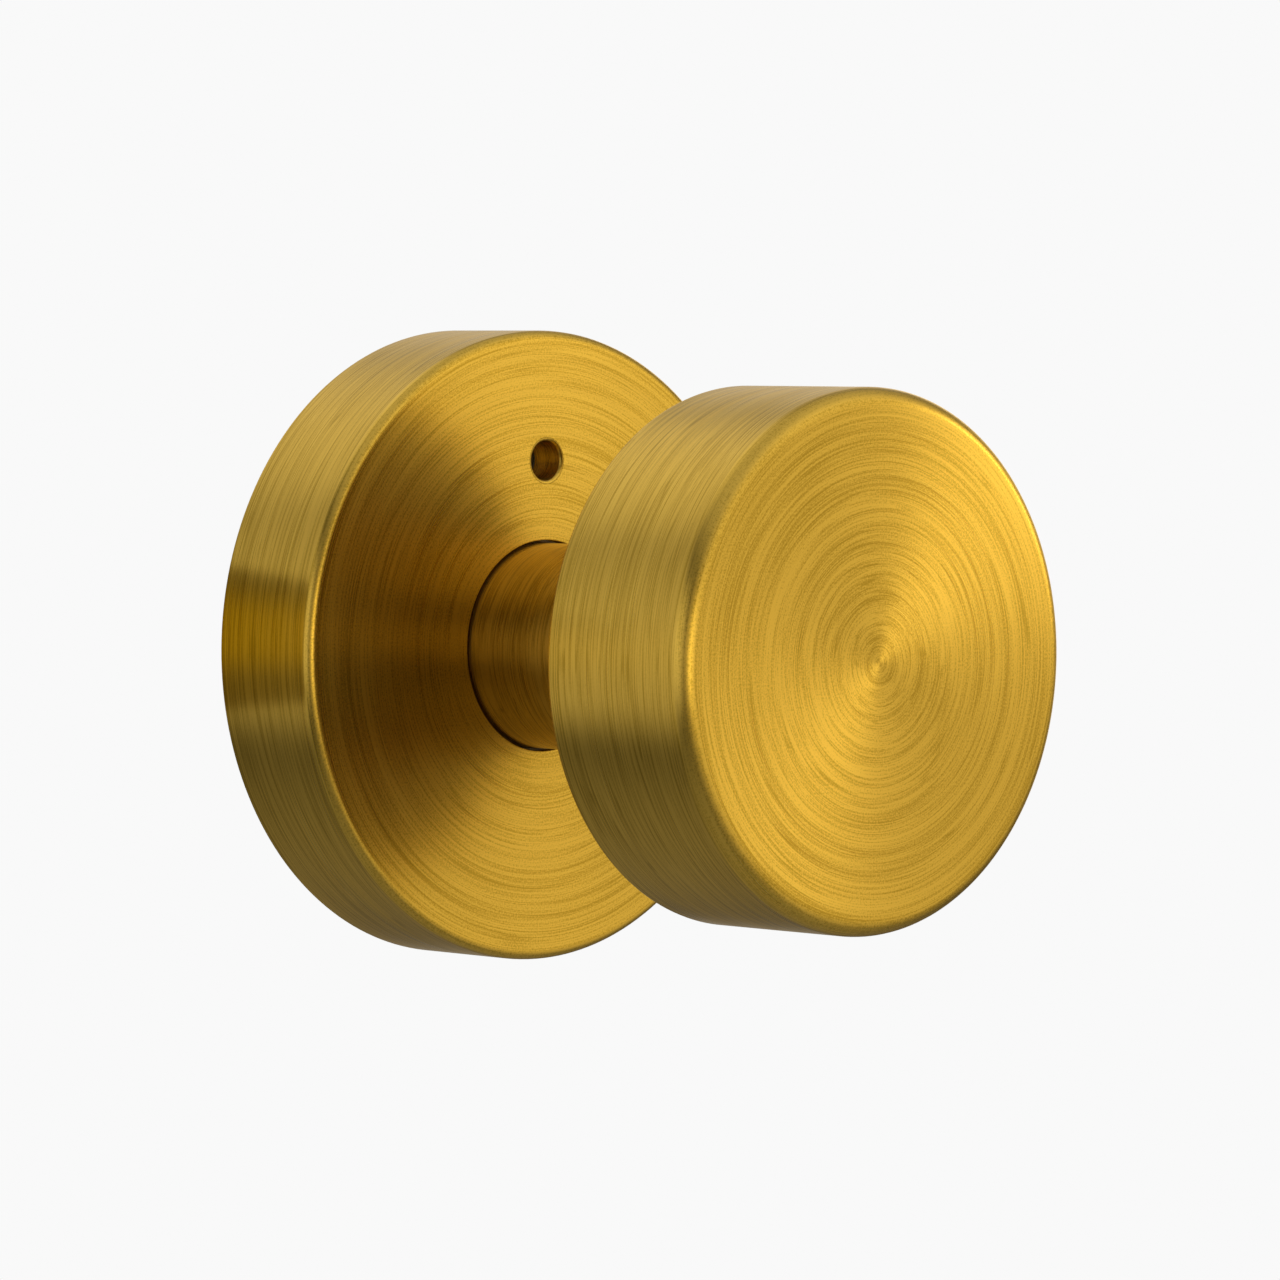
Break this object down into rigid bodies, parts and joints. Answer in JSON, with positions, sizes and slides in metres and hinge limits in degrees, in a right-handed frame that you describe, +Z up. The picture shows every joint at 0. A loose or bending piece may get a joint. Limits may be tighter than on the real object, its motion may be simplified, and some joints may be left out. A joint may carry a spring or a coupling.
{
  "type": "door knob",
  "caption": "Flat disc knob on a plain round rose, satin brass, with an emergency release hole; sprung to return to centre.",
  "frame": {"origin": "the spindle axis where it meets the door face, at the middle of the rose's rear face", "axes": "+Z is up; the knob stands out from the door along -Y; +Y points into the door along the spindle; +X is to the right seen from the front"},
  "size_m": [0.065, 0.085, 0.065],
  "materials": {
    "satin_brass": "fine concentric brushing",
    "zinc_casting": "die cast",
    "plated_steel": "zinc plated",
    "spring_steel": "drawn wire",
    "nylon": "moulded"
  },
  "bodies": {
    "rose": {"base_plate": "zinc_casting", "rose_cover": "satin_brass", "rose_snap_ring": "spring_steel", "release_bush": "satin_brass", "release_guide": "nylon", "rear_bush": "nylon", "front_bush": "nylon", "cage_cover": "plated_steel", "cage_screws": "plated_steel", "bolt_posts": "plated_steel", "spring_left": "spring_steel", "spring_right": "spring_steel", "release_spring": "spring_steel"},
    "knob": {"knob_shell": "satin_brass", "knob_back_plate": "satin_brass", "knob_core": "zinc_casting", "core_screws": "plated_steel", "neck_sleeve": "satin_brass", "neck_shank": "zinc_casting", "spindle": "plated_steel", "set_screw": "spring_steel", "spring_cam": "plated_steel", "circlip": "spring_steel", "thrust_washer": "plated_steel"},
    "release": {"release_pin": "plated_steel"}
  },
  "joints": [
    {"name": "knob_turn", "type": "hinge", "parent": "rose", "child": "knob", "pos_m": [0, 0, 0], "axis": [0, -1, 0], "range_deg": [-60, 60], "stiffness_Nm_per_rad": 0.3, "deforming": ["spring_left", "spring_right"]},
    {"name": "release_push", "type": "slide", "parent": "rose", "child": "release", "axis": [0, 1, 0], "range_m": [0, 0.003], "stiffness_N_per_m": 300, "springref_m": -0.003, "deforming": ["release_spring"]}
  ]
}
